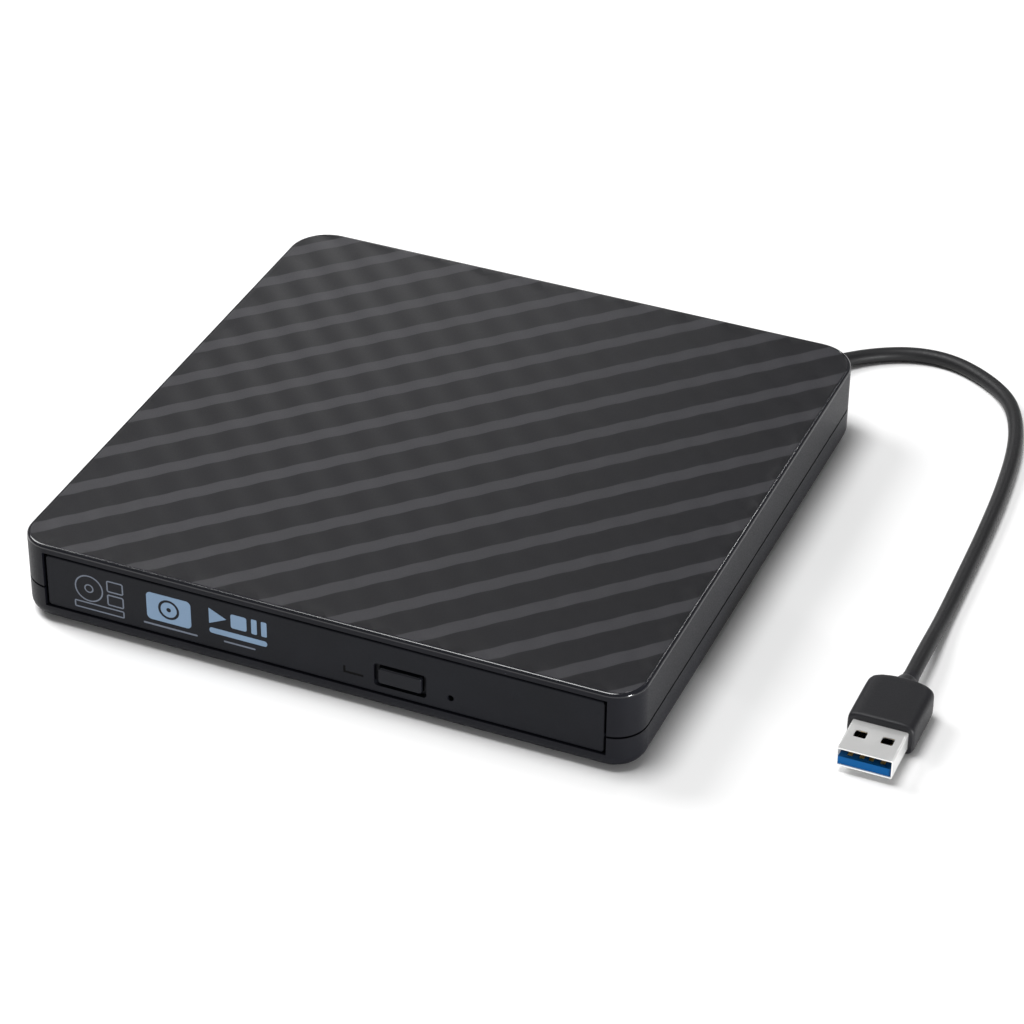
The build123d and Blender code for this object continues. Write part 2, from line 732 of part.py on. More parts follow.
flex_socket_back = 35.2
flex_socket_z = (6.1, 7.6)
flex_slot_end = 33.0

with BuildPart() as flex_socket:
    slab((flex_x[0] - 1, flex_x[1] + 1), (bottom_plate_back + 0.1, flex_socket_back), flex_socket_z)
    slab(flex_x, (bottom_plate_back, flex_slot_end), (6.0, 6.2), mode=Mode.SUBTRACT)
save(flex_socket, "flex_socket")

# ---------------------------------------------------------------- eject button, latch and solenoid

button_front = -71.9
button_flange_half = (5.6, 2.6)
button_flange_y = (-69.9, -69.2)
button_stem_half = (1.2, 1.0)
button_stem_end = -65.2

with BuildPart() as eject_button:
    plate((button_x - button_half[0], button_x + button_half[0]),
          (button_z - button_half[1], button_z + button_half[1]),
          (button_front, button_flange_y[0]), corner=0.6)
    fillet(eject_button.faces().sort_by(Axis.Y)[0].edges(), 0.35)
    plate((button_x - button_flange_half[0], button_x + button_flange_half[0]),
          (button_z - button_flange_half[1], button_z + button_flange_half[1]), button_flange_y)
    plate((button_x - button_stem_half[0], button_x + button_stem_half[0]),
          (button_z - button_stem_half[1], button_z + button_stem_half[1]),
          (button_flange_y[1], button_stem_end))
save(eject_button, "eject_button")

switch_stem_radius = 0.9

with BuildPart() as switch_stem:
    pin_along_y(button_x, button_z, switch_stem_radius, (button_stem_end, switch_y[0] + 0.9))
save(switch_stem, "switch_stem")

latch_pivot = (50.5, -60.0)
latch_z = (7.3, 8.7)
latch_eye_radius = 2.2
latch_pin_radius = 1.0
pull_arm_x = (29.6, latch_pivot[0])
pull_arm_y = (-61.0, -59.0)
hook_arm_x = (52.2, 54.0)
finger_x = (49.0, hook_arm_x[1])
finger_y = (-47.5, -46.0)

with BuildPart() as latch_lever:
    drum(latch_pivot, latch_eye_radius, latch_z)
    slab(pull_arm_x, pull_arm_y, latch_z)
    slab(hook_arm_x, (latch_pivot[1], finger_y[1]), latch_z)
    slab(finger_x, finger_y, latch_z)
    slab((latch_pivot[0], hook_arm_x[1]), (pull_arm_y[0], pull_arm_y[1] + 0.5), latch_z)
    drum(latch_pivot, latch_pin_radius + fit_gap, latch_z, mode=Mode.SUBTRACT)
save(latch_lever, "latch_lever")

with BuildPart() as latch_pin:
    drum(latch_pivot, latch_pin_radius, (bottom_plate_z[1], 11.8))
save(latch_pin, "latch_pin")

coil_x = 36.5
coil_z = 9.2
coil_y = (-54.8, -45.4)
coil_radius = 2.3
yoke_half_width = 4.2
yoke_sheet = 0.8
yoke_z = (6.8, 11.6)
armature_radius = 1.0
armature_y = (-57.6, -46.5)
armature_tab_front = -58.7

with BuildPart() as solenoid:
    for y in ((coil_y[0] - yoke_sheet, coil_y[0]), (coil_y[1], coil_y[1] + yoke_sheet)):
        slab((coil_x - yoke_half_width, coil_x + yoke_half_width), y, yoke_z)
    slab((coil_x + yoke_half_width - yoke_sheet, coil_x + yoke_half_width), coil_y, yoke_z)
    pin_along_y(coil_x, coil_z, coil_radius, coil_y)
    pin_along_y(coil_x, coil_z, armature_radius + 0.06, (coil_y[0] - 1, coil_y[1] + 1),
                mode=Mode.SUBTRACT)
save(solenoid, "solenoid")

with BuildPart() as solenoid_armature:
    pin_along_y(coil_x, coil_z, armature_radius, armature_y)
    slab((coil_x - armature_radius, coil_x + armature_radius), (armature_tab_front, armature_y[0]),
         (latch_z[0], 10.1))
save(solenoid_armature, "solenoid_armature")

plunger_y = (40.0, 57.85)
plunger_radius = 1.34
spring_radii = (1.25, 0.9)

with BuildPart() as ejector_plunger:
    pin_along_y(barrel_x, barrel_z, plunger_radius, plunger_y)
    fillet(ejector_plunger.faces().sort_by(Axis.Y)[-1].edges(), 0.5)
save(ejector_plunger, "ejector_plunger")

with BuildPart() as ejector_spring:
    pin_along_y(barrel_x, barrel_z, spring_radii[0],
                (barrel_y[0] + 2 + fit_gap, plunger_y[0] - fit_gap), bore=spring_radii[1])
save(ejector_spring, "ejector_spring")

# ---------------------------------------------------------------- traverse: spindle and pick-up

traverse_outline = [(-18, -18.5), (61, -18.5), (66.6, -13), (66.6, 13), (61, 17), (-18, 17)]
rod_across = 11.5
rod_z = 9.6
rod_along = (12.5, 65.0)
screw_across = -15.4
screw_z = 10.0
lens_inner = 23.5
lens_travel = 33.5
rotor_radius = 13.0
rod_radius = 1.0
sled_opening_along = (14.6, 62.4)
sled_opening_half = 13.7
damper_neck = 1.45
rod_block_top = 11.2
inner_block = ((12.4, 14.4), 1.7)
outer_block = ((62.6, 65.2), 1.5)

with BuildPart() as traverse_plate:
    prism(traverse_outline, traverse_z, base=slant)
    slab(sled_opening_along, (-sled_opening_half, sled_opening_half), traverse_z, base=slant,
         mode=Mode.SUBTRACT)
    for spot in mount_spots:
        drum(spot, damper_neck + fit_gap, traverse_z, base=slant, mode=Mode.SUBTRACT)
    for across in (-rod_across, rod_across):
        for along, half in (inner_block, outer_block):
            slab(along, (across - half, across + half), (traverse_z[1], rod_block_top), base=slant)
        pin_along_slant(across, rod_z, rod_radius + 0.02, rod_along, mode=Mode.SUBTRACT)
save(traverse_plate, "traverse_plate")

cover_z = (12.3, 12.7)
cover_edge_gap = 0.3
hub_opening = 15.6
lens_slot_along = (lens_inner - 6, lens_inner + lens_travel + 7)
lens_slot_width = 10.0

with BuildPart() as traverse_cover:
    with BuildSketch(slant.offset(cover_z[0])) as cover_outline:
        with BuildLine():
            Polyline(*deck_window, close=True)
        make_face()
        offset(amount=-cover_edge_gap)
        Circle(hub_opening, mode=Mode.SUBTRACT)
        with Locations((sum(lens_slot_along) / 2, 0)):
            Rectangle(lens_slot_along[1] - lens_slot_along[0], lens_slot_width, mode=Mode.SUBTRACT)
    extrude(cover_outline.sketch, amount=cover_z[1] - cover_z[0])
save(traverse_cover, "traverse_cover")

damper_radius = 2.1
damper_bore = 0.8
with BuildPart() as traverse_dampers:
    for spot in mount_spots:
        drum(spot, damper_neck, damper_z, base=slant)
        for z in ((damper_z[0], traverse_z[0] - 0.01), (traverse_z[1] + 0.01, damper_z[1])):
            drum(spot, damper_radius, z, base=slant)
        drum(spot, damper_bore, damper_z, base=slant, mode=Mode.SUBTRACT)
save(traverse_dampers, "traverse_dampers")

mount_head = (1.7, 6.1)
mount_shank = (0.7, 10.8)
with BuildPart() as traverse_screws:
    for spot in mount_spots:
        drum(spot, mount_head[0], (mount_head[1], damper_z[0]), base=slant)
        drum(spot, mount_shank[0], (damper_z[0], mount_shank[1]), base=slant)
save(traverse_screws, "traverse_screws")

with BuildPart() as guide_rods:
    for across in (-rod_across, rod_across):
        pin_along_slant(across, rod_z, rod_radius, (rod_along[0] + 0.1, rod_along[1] - 0.1))
save(guide_rods, "guide_rods")

motor_radius = 2.1
motor_along = (4.5, 14.4)
motor_flange = (0.5, 2.4, 12.1)
screw_radius = 1.0
screw_along = (11.2, 58.4)
screw_bore = screw_radius + fit_gap
bearing_along = (57.0, 59.6)
bearing_half = 2.0
bearing_top = 12.0

with BuildPart() as feed_motor:
    pin_along_slant(screw_across, screw_z, motor_radius, motor_along)
    slab((motor_along[1], motor_along[1] + motor_flange[0]),
         (screw_across - motor_flange[1], screw_across + motor_flange[1]),
         (traverse_z[1], motor_flange[2]), base=slant)
    pin_along_slant(screw_across, screw_z, screw_bore, (screw_along[0] - 0.2, motor_along[1] + 0.6),
                    mode=Mode.SUBTRACT)
save(feed_motor, "feed_motor")

with BuildPart() as screw_bearing:
    slab(bearing_along, (screw_across - bearing_half, screw_across + bearing_half),
         (traverse_z[1], bearing_top), base=slant)
    pin_along_slant(screw_across, screw_z, screw_bore, (bearing_along[0] - 0.1, screw_along[1] + 0.2),
                    mode=Mode.SUBTRACT)
save(screw_bearing, "screw_bearing")

with BuildPart() as lead_screw:
    pin_along_slant(screw_across, screw_z, screw_radius, screw_along)
save(lead_screw, "lead_screw")

sled_along = (lens_inner - 8, lens_inner + 5)
sled_half = 13.4
sled_z = (8.1, 11.4)
follower_across = (-17.2, -13.3)
follower_top = 8.85
lens_well_half = (4.0, 3.4)
lens_well_floor = 9.6
holder_half = (3.6, 3.0)
holder_z = (9.7, 11.8)
lens_rim_radii = (2.3, 1.9)
lens_rim_top = 12.6
lens_z = (11.65, 12.5)

with BuildPart() as pickup_sled:
    slab(sled_along, (-sled_half, sled_half), sled_z, base=slant)
    slab((sled_along[0], sled_along[0] + 4), follower_across, (sled_z[0], follower_top), base=slant)
    slab((lens_inner - lens_well_half[0], lens_inner + lens_well_half[0]),
         (-lens_well_half[1], lens_well_half[1]), (lens_well_floor, sled_z[1]), base=slant,
         mode=Mode.SUBTRACT)
    for across in (-rod_across, rod_across):
        pin_along_slant(across, rod_z, rod_radius + fit_gap, (sled_along[0] - 1, sled_along[1] + 1),
                        mode=Mode.SUBTRACT)
save(pickup_sled, "pickup_sled")

with BuildPart() as lens_holder:
    slab((lens_inner - holder_half[0], lens_inner + holder_half[0]), (-holder_half[1], holder_half[1]),
         holder_z, corner=0.6, base=slant)
    drum((lens_inner, 0), lens_rim_radii[0], (holder_z[1], lens_rim_top), base=slant)
    drum((lens_inner, 0), lens_rim_radii[1], (lens_z[0] - fit_gap, lens_rim_top), base=slant,
         mode=Mode.SUBTRACT)
save(lens_holder, "lens_holder")

with BuildPart() as objective_lens:
    drum((lens_inner, 0), lens_rim_radii[1] - fit_gap, lens_z, base=slant)
    fillet(objective_lens.faces().sort_by(Axis.Z)[-1].edges(), 0.5)
save(objective_lens, "objective_lens")

spindle_spot = (0, disc_y)
shaft_radius = 1.0
shaft_top = 13.4
pole_count = 9
pole_circle = 7.2
pole_radius = 1.9
stator_base = (12.0, 8.2)
stator_sleeve = (2.6, 11.2)
stator_core = (5.6, (9.0, 10.2))
pole_top = 10.9

with BuildPart() as spindle_stator:
    drum(spindle_spot, stator_base[0], (traverse_z[1], stator_base[1]))
    drum(spindle_spot, stator_sleeve[0], (traverse_z[1], stator_sleeve[1]))
    for step in range(pole_count):
        angle = radians(360 / pole_count * step)
        pole_spot = (pole_circle * cos(angle), disc_y + pole_circle * sin(angle))
        drum(pole_spot, pole_radius, (stator_base[1], pole_top))
    drum(spindle_spot, stator_core[0], stator_core[1])
    drum(spindle_spot, shaft_radius + fit_gap, (traverse_z[1], stator_sleeve[1] + 0.1),
         mode=Mode.SUBTRACT)
save(spindle_stator, "spindle_stator")

with BuildPart() as spindle_shaft:
    drum(spindle_spot, shaft_radius, (traverse_z[1] + 0.1, shaft_top))
save(spindle_shaft, "spindle_shaft")

rotor_z = (8.7, 12.3)
rotor_roof = 11.6
rotor_sheet = 0.7
magnet_z = (8.9, 11.55)
magnet_bore = 10.4

with BuildPart() as spindle_rotor:
    drum(spindle_spot, rotor_radius, rotor_z)
    drum(spindle_spot, rotor_radius - rotor_sheet, (rotor_z[0], rotor_roof), mode=Mode.SUBTRACT)
    drum(spindle_spot, shaft_radius + 0.01, (rotor_roof - 0.1, rotor_z[1] + 0.1), mode=Mode.SUBTRACT)
save(spindle_rotor, "spindle_rotor")

with BuildPart() as rotor_magnet:
    drum(spindle_spot, rotor_radius - rotor_sheet - 0.02, magnet_z, bore=magnet_bore)
save(rotor_magnet, "rotor_magnet")

hub_radius = 7.4
hub_top = 16.0
turntable_radius = 14.5
turntable_z = (rotor_z[1] + 0.02, 13.9)
ball_count = 3
ball_height = 15.2
ball_circle = 6.6
ball_radius = 0.7

with BuildPart() as disc_hub:
    drum(spindle_spot, turntable_radius, turntable_z)
    drum(spindle_spot, hub_radius, (turntable_z[1], hub_top))
    chamfer(disc_hub.faces().sort_by(Axis.Z)[-1].edges(), 0.5)
    for step in range(ball_count):
        angle = radians(360 / ball_count * step)
        socket_plane = Plane(origin=(0, disc_y, ball_height), z_dir=(cos(angle), sin(angle), 0))
        with BuildSketch(socket_plane) as socket:
            Circle(ball_radius + fit_gap)
        extrude(socket.sketch, amount=hub_radius + 1, mode=Mode.SUBTRACT)
    drum(spindle_spot, shaft_radius + 0.01, (rotor_z[1], shaft_top + 0.1), mode=Mode.SUBTRACT)
save(disc_hub, "disc_hub")

with BuildPart() as chuck_balls:
    for step in range(ball_count):
        angle = radians(360 / ball_count * step)
        with Locations((ball_circle * cos(angle), disc_y + ball_circle * sin(angle), ball_height)):
            Sphere(ball_radius)
save(chuck_balls, "chuck_balls")

hub_ring_radii = (14.3, 11.6)
with BuildPart() as hub_ring:
    drum(spindle_spot, hub_ring_radii[0], (turntable_z[1], disc_seat_z), bore=hub_ring_radii[1])
save(hub_ring, "hub_ring")
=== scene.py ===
from math import cos, pi, radians, sin, sqrt, tau

import bmesh
import bpy
from mathutils import Matrix, Vector


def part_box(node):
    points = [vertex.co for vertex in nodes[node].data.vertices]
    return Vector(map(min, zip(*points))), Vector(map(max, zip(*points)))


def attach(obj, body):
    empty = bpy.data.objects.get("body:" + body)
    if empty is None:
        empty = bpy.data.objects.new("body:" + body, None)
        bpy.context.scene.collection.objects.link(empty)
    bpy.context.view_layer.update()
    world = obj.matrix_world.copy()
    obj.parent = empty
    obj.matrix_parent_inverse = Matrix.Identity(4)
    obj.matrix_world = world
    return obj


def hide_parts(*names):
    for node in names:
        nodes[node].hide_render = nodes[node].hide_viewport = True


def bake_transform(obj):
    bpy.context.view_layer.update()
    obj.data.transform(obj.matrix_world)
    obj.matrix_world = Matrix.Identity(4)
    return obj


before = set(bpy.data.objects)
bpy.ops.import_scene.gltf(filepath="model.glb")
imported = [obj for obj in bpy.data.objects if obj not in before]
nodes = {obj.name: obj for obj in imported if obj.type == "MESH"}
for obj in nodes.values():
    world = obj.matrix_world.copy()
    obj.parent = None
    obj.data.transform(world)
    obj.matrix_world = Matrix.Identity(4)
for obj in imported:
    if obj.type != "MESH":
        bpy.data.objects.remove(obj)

MM = 0.001
scene = bpy.context.scene
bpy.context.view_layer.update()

# ---------------------------------------------------------------- camera

CAMERA_PLACE = Vector((0.25932, -0.59152, 0.44863))
CAMERA_TURN = radians(22.556)
CAMERA_RISE = radians(34.733)
CAMERA_ROLL = radians(0.598)
CAMERA_LENS = 122.69


def link(thing):
    scene.collection.objects.link(thing)
    return thing


def add_camera():
    """The view of the photograph: from the front, a little to the right, looking down."""
    data = bpy.data.cameras.new("camera")
    data.lens = CAMERA_LENS
    data.clip_end = 20
    camera = link(bpy.data.objects.new("camera", data))
    back = Vector((
        sin(CAMERA_TURN) * cos(CAMERA_RISE),
        -cos(CAMERA_TURN) * cos(CAMERA_RISE),
        sin(CAMERA_RISE),
    ))
    right = Vector((cos(CAMERA_TURN), sin(CAMERA_TURN), 0))
    up = back.cross(right)
    side = cos(CAMERA_ROLL) * right + sin(CAMERA_ROLL) * up
    top = cos(CAMERA_ROLL) * up - sin(CAMERA_ROLL) * right
    axes = Matrix((side, top, back)).transposed().to_4x4()
    camera.matrix_world = Matrix.Translation(CAMERA_PLACE) @ axes
    scene.camera = camera


add_camera()

# ---------------------------------------------------------------- lead

CORD_DIAMETER = 3.5 * MM
# From the gland, down to the surface, round the rear corner and forward beside the case to the plug.
CORD_ROUTE = [
    (54.8, 76.0, 5.5),
    (55.2, 84.2, 4.6),
    (58.6, 92.2, 2.3),
    (66.0, 99.8, 1.76),
    (75.2, 104.4, 1.76),
    (84.5, 104.6, 1.76),
    (93.6, 100.4, 1.76),
    (101.0, 94.3, 1.76),
    (105.4, 86.2, 1.76),
    (108.7, 74.3, 1.76),
    (110.8, 57.3, 1.76),
    (111.9, 39.0, 1.76),
    (112.5, 20.5, 1.76),
    (113.0, 2.5, 1.76),
    (113.5, -12.0, 3.9),
    (113.6, -21.5, 4.0),
]


def add_cord():
    """The lead, as one smooth spline through its route."""
    curve = bpy.data.curves.new("lead", "CURVE")
    curve.dimensions = "3D"
    spline = curve.splines.new("NURBS")
    spline.points.add(len(CORD_ROUTE) - 1)
    for point, place in zip(spline.points, CORD_ROUTE):
        point.co = (*(MM * value for value in place), 1)
        point.radius = CORD_DIAMETER / 2
    spline.order_u = 3
    spline.use_endpoint_u = True
    spline.resolution_u = 16
    curve.bevel_depth = 1
    curve.bevel_resolution = 7
    curve.use_fill_caps = True
    return link(bpy.data.objects.new("lead", curve))


cord = add_cord()
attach(cord, "case")
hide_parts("cord")

# ---------------------------------------------------------------- materials


class Finish:
    """One procedural material: a Principled shader and the nodes that feed it."""

    def __init__(self, name, colour, roughness, metallic=0.0, **sockets):
        self.material = bpy.data.materials.new(name)
        self.material.use_nodes = True
        self.tree = self.material.node_tree
        self.shader = self.tree.nodes["Principled BSDF"]
        self.set("Base Color", (*colour, 1))
        self.set("Roughness", roughness)
        self.set("Metallic", metallic)
        for socket, value in sockets.items():
            self.set(socket.replace("_", " "), value)
        self.material.diffuse_color = (*colour, 1)
        self.place = self.add("ShaderNodeTexCoord").outputs["Object"]

    def set(self, socket, value):
        self.shader.inputs[socket].default_value = value

    def add(self, kind, **settings):
        node = self.tree.nodes.new(kind)
        for name, value in settings.items():
            setattr(node, name, value)
        return node

    def feed(self, source, target, socket):
        """Join an output, or give a number, to one input."""
        if isinstance(source, bpy.types.NodeSocket):
            self.tree.links.new(source, target.inputs[socket])
        else:
            target.inputs[socket].default_value = source

    def drive(self, source, socket):
        self.feed(source, self.shader, socket)

    def stretched(self, stretch):
        """The object's own coordinates, with each axis multiplied."""
        node = self.add("ShaderNodeVectorMath", operation="MULTIPLY")
        self.feed(self.place, node, 0)
        self.feed(Vector(stretch), node, 1)
        return node.outputs["Vector"]

    def noise(self, size, detail=2.0, stretch=None):
        """Soft noise whose blobs are size metres across."""
        node = self.add("ShaderNodeTexNoise")
        self.feed(self.stretched(stretch) if stretch else self.place, node, "Vector")
        self.feed(1 / size, node, "Scale")
        self.feed(detail, node, "Detail")
        return node.outputs["Fac"]

    def along(self, direction):
        """Distance along a direction, in metres."""
        node = self.add("ShaderNodeVectorMath", operation="DOT_PRODUCT")
        self.feed(self.place, node, 0)
        self.feed(Vector(direction), node, 1)
        return node.outputs["Value"]

    def spread(self, source, low, high, start=0.0, end=1.0):
        """Map start..end to low..high, with a soft step between."""
        node = self.add("ShaderNodeMapRange", interpolation_type="SMOOTHSTEP")
        self.feed(source, node, "Value")
        self.feed(start, node, "From Min")
        self.feed(end, node, "From Max")
        self.feed(low, node, "To Min")
        self.feed(high, node, "To Max")
        return node.outputs["Result"]

    def blend(self, share, first, second):
        """Mix two colours."""
        node = self.add("ShaderNodeMix", data_type="RGBA")
        self.feed(share, node, 0)
        self.feed((*first, 1) if isinstance(first, tuple) else first, node, 6)
        self.feed((*second, 1) if isinstance(second, tuple) else second, node, 7)
        return node.outputs[2]

    def relief(self, height, depth):
        """Raise the surface by depth metres where height is 1, on top of any relief so far."""
        node = self.add("ShaderNodeBump")
        node.inputs["Distance"].default_value = depth
        self.feed(height, node, "Height")
        if self.shader.inputs["Normal"].is_linked:
            self.feed(self.shader.inputs["Normal"].links[0].from_socket, node, "Normal")
        self.drive(node.outputs["Normal"], "Normal")


def shaded(colour, factor):
    return tuple(channel * factor for channel in colour)


def moulded(name, colour, roughness, grain=0.35 * MM, depth=0.012 * MM, cloud=0.10, **sockets):
    """Moulded plastic or rubber: a fine spark-eroded grain and a faint cloudiness."""
    finish = Finish(name, colour, roughness, **sockets)
    clouds = finish.spread(finish.noise(14 * MM), 0.0, 1.0, 0.3, 0.7)
    finish.drive(finish.blend(clouds, shaded(colour, 1 - cloud), shaded(colour, 1 + cloud)), "Base Color")
    pits = finish.noise(grain, 3.0)
    finish.drive(finish.spread(pits, roughness - 0.05, roughness + 0.06, 0.3, 0.7), "Roughness")
    finish.relief(pits, depth)
    return finish


def rolled(name, colour, roughness, stretch=(1, 12, 12), line=1.2 * MM, **sockets):
    """Rolled or drawn metal: fine lines along one direction and faint stains."""
    finish = Finish(name, colour, roughness, 1.0, **sockets)
    lines = finish.noise(line, 4.0, stretch)
    stains = finish.spread(finish.noise(9 * MM), 0.0, 1.0, 0.35, 0.75)
    finish.drive(finish.blend(stains, shaded(colour, 0.86), shaded(colour, 1.06)), "Base Color")
    finish.drive(finish.spread(lines, roughness - 0.09, roughness + 0.10, 0.3, 0.7), "Roughness")
    finish.relief(lines, 0.004 * MM)
    return finish


def plated(name, colour, roughness):
    """Bright, smooth plating with a faint cloudiness."""
    finish = Finish(name, colour, roughness, 0.65)
    clouds = finish.spread(finish.noise(6 * MM), 0.0, 1.0, 0.3, 0.7)
    finish.drive(finish.blend(clouds, shaded(colour, 0.96), colour), "Base Color")
    finish.drive(finish.spread(clouds, roughness - 0.02, roughness + 0.02), "Roughness")
    return finish


def tongue_plastic_with_painted_shade():
    """Blue plastic at the plug's mouth, with painted shade darkening it where it runs back under the shell.
    """
    # The second colour is painted shade, standing in for the shade inside the shell, not the plastic's own
    # colour.
    blue, painted_shade_colour = (0.0, 0.085, 0.27), (0.0, 0.001, 0.004)
    finish = Finish("plug_blue", blue, 0.4, Specular_IOR_Level=0.12)
    # Painted shade: the blue darkens to the shade colour from y = -53 mm to -49 mm, where the shell covers
    # the tongue.
    painted_shade_share = finish.spread(finish.along((0, 1, 0)), 0.0, 1.0, -53.0 * MM, -49.0 * MM)
    finish.drive(finish.blend(painted_shade_share, blue, painted_shade_colour), "Base Color")
    finish.relief(finish.noise(0.35 * MM), 0.004 * MM)
    return finish


# ---------------------------------------------------------------- finishes

STRIPE_PITCH = 11.12 * MM
STRIPE_WIDTH = 3.65 * MM
STRIPE_START = 8.58 * MM
STRIPE_TURN = radians(45.5)
STRIPE_ACROSS = Vector((sin(STRIPE_TURN), -cos(STRIPE_TURN), 0))
STRIPE_ALONG = Vector((cos(STRIPE_TURN), sin(STRIPE_TURN), 0))
WAVE_PITCH = 9.07 * MM
WAVE_CREST = 0.85 * MM
WAVE_DEPTH = 0.16 * MM
CASE_BLACK = (0.0050, 0.0053, 0.0082)
BEZEL_BLACK = (0.0068, 0.0074, 0.0102)

COVER_RIM = moulded("cover_rim", CASE_BLACK, 0.16, depth=0.002 * MM, Specular_IOR_Level=0.6)
FILM_DARK = moulded(
    "film_dark", (0.0016, 0.0015, 0.0034), 0.37, grain=0.22 * MM, depth=0.006 * MM, cloud=0.08,
    Specular_IOR_Level=0.40)
FILM_LIGHT = moulded(
    "film_light", (0.0122, 0.0118, 0.0162), 0.43, grain=0.22 * MM, depth=0.010 * MM, cloud=0.08,
    Specular_IOR_Level=0.64)
FINISHES = {
    "cover_plastic": moulded("cover_plastic", CASE_BLACK, 0.42, Specular_IOR_Level=0.14),
    "shell_plastic": moulded("shell_plastic", CASE_BLACK, 0.42, Specular_IOR_Level=0.14),
    "bezel_plastic": moulded("bezel_plastic", BEZEL_BLACK, 0.46, Specular_IOR_Level=0.13),
    "button_plastic": moulded("button_plastic", BEZEL_BLACK, 0.42, Specular_IOR_Level=0.16),
    "foot_rubber": moulded("foot_rubber", (0.02, 0.02, 0.021), 0.75, grain=0.5 * MM, depth=0.03 * MM),
    "cord_rubber": moulded(
        "cord_rubber", (0.010, 0.010, 0.011), 0.48, grain=0.5 * MM, depth=0.02 * MM,
        Specular_IOR_Level=0.35),
    "plug_plastic": moulded(
        "plug_plastic", (0.009, 0.009, 0.011), 0.5, grain=0.3 * MM, depth=0.01 * MM,
        Specular_IOR_Level=0.3),
    "chip_black": moulded("chip_black", (0.02, 0.02, 0.022), 0.5, grain=0.2 * MM),
    "connector_black": moulded("connector_black", (0.018, 0.018, 0.019), 0.4),
    "tray_plastic": moulded("tray_plastic", (0.020, 0.020, 0.022), 0.5, grain=0.4 * MM, depth=0.02 * MM),
    "latch_plastic": moulded("latch_plastic", (0.62, 0.62, 0.58), 0.4),
    "guide_nylon": moulded("guide_nylon", (0.66, 0.66, 0.62), 0.38),
    "hub_plastic": moulded("hub_plastic", (0.03, 0.03, 0.032), 0.35),
    "damper_rubber": moulded("damper_rubber", (0.03, 0.03, 0.03), 0.8, grain=0.5 * MM, depth=0.03 * MM),
    "plug_blue": tongue_plastic_with_painted_shade(),
    "painted_cover": moulded("painted_cover", (0.022, 0.022, 0.024), 0.38, depth=0.02 * MM),
    "flex_film": moulded("flex_film", (0.30, 0.13, 0.03), 0.3, Coat_Weight=0.5),
    "magnet_dark": moulded("magnet_dark", (0.05, 0.048, 0.046), 0.6),
    "led_clear": moulded(
        "led_clear", (0.002, 0.002, 0.002), 0.3, grain=0.6 * MM, depth=0.004 * MM,
        Specular_IOR_Level=0.05),
    "screw_steel": rolled("screw_steel", (0.20, 0.20, 0.21), 0.35),
    "sheet_steel": rolled("sheet_steel", (0.62, 0.62, 0.63), 0.33),
    "rod_steel": rolled("rod_steel", (0.75, 0.75, 0.76), 0.18),
    "motor_can": rolled("motor_can", (0.56, 0.56, 0.58), 0.30),
    "sled_metal": rolled("sled_metal", (0.42, 0.42, 0.44), 0.45, stretch=(4, 4, 4)),
    "plug_steel": plated("plug_steel", (0.92, 0.92, 0.91), 0.30),
    "contact_gold": rolled("contact_gold", (0.85, 0.60, 0.22), 0.22),
    "coil_copper": rolled("coil_copper", (0.62, 0.25, 0.11), 0.32, stretch=(3, 3, 30)),
    "wire_copper": rolled("wire_copper", (0.62, 0.25, 0.11), 0.32),
    "circuit_board": moulded("circuit_board", (0.01, 0.09, 0.035), 0.3, Coat_Weight=0.4),
    "lens_glass": moulded("lens_glass", (0.10, 0.12, 0.30), 0.05, Coat_Weight=1.0, depth=0.0),
}


def finish_of(slot):
    return FINISHES[slot].material


# ---------------------------------------------------------------- mesh helpers


def welded(node):
    """A CAD node's mesh as a new bmesh, with its split corners joined again."""
    work = bmesh.new()
    work.from_mesh(nodes[node].data)
    bmesh.ops.remove_doubles(work, verts=work.verts, dist=1e-6)
    return work


def skinned(loops):
    """A closed skin through loops of points, capped at both ends."""
    work = bmesh.new()
    rings = [[work.verts.new(place) for place in loop] for loop in loops]
    for near, far in zip(rings, rings[1:]):
        for step in range(len(near)):
            after = (step + 1) % len(near)
            work.faces.new((near[step], near[after], far[after], far[step]))
    work.faces.new(rings[0])
    work.faces.new(rings[-1])
    return work


def full_turn(steps):
    """The angles of points spaced evenly round a circle."""
    return [tau * step / steps for step in range(steps)]


def finished(name, work, materials, sharp=radians(35)):
    """Make an object from a bmesh, smooth but for its sharp edges."""
    bmesh.ops.recalc_face_normals(work, faces=work.faces)
    for face in work.faces:
        face.smooth = True
    for edge in work.edges:
        edge.smooth = len(edge.link_faces) == 2 and edge.calc_face_angle() < sharp
    mesh = bpy.data.meshes.new(name)
    work.to_mesh(mesh)
    work.free()
    for material in materials:
        mesh.materials.append(material)
    piece = link(bpy.data.objects.new(name, mesh))
    even = piece.modifiers.new("even_normals", "WEIGHTED_NORMAL")
    even.keep_sharp = True
    return piece


def placed(piece, body, slot, *replaced):
    """Tie a piece to its body, and hide the CAD nodes that it stands for. The slot argument is not used."""
    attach(piece, body)
    if replaced:
        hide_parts(*replaced)
    return piece


# ---------------------------------------------------------------- top cover

case_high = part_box("top_cover")[1]
ROOF = case_high.z
RIM = 0.8 * MM
WAVE_RISE = 2.4 * MM
FILM_REACH = 101 * MM
CUTS_PER_WAVE = 12
PLASTIC_FACES, DARK_FACES, LIGHT_FACES, RIM_FACES = range(4)


def wave_sink(place):
    """How far the corrugated roof lies below its crests, with none at the rim."""
    inset = min(case_high.x - abs(place.x), case_high.y - abs(place.y)) - RIM
    share = min(max(inset / WAVE_RISE, 0.0), 1.0)
    swell = 0.5 - 0.5 * cos(tau * (place.dot(STRIPE_ALONG) - WAVE_CREST) / WAVE_PITCH)
    return WAVE_DEPTH * swell * share * share * (3 - 2 * share)


def cut_across(work, parts, direction, offsets):
    """Cut these faces along parallel lines, each at its distance along direction."""
    for offset in offsets:
        cut = bmesh.ops.bisect_plane(
            work, geom=parts, dist=1e-7, plane_co=direction * offset, plane_no=direction)
        parts = cut["geom"]
    return parts


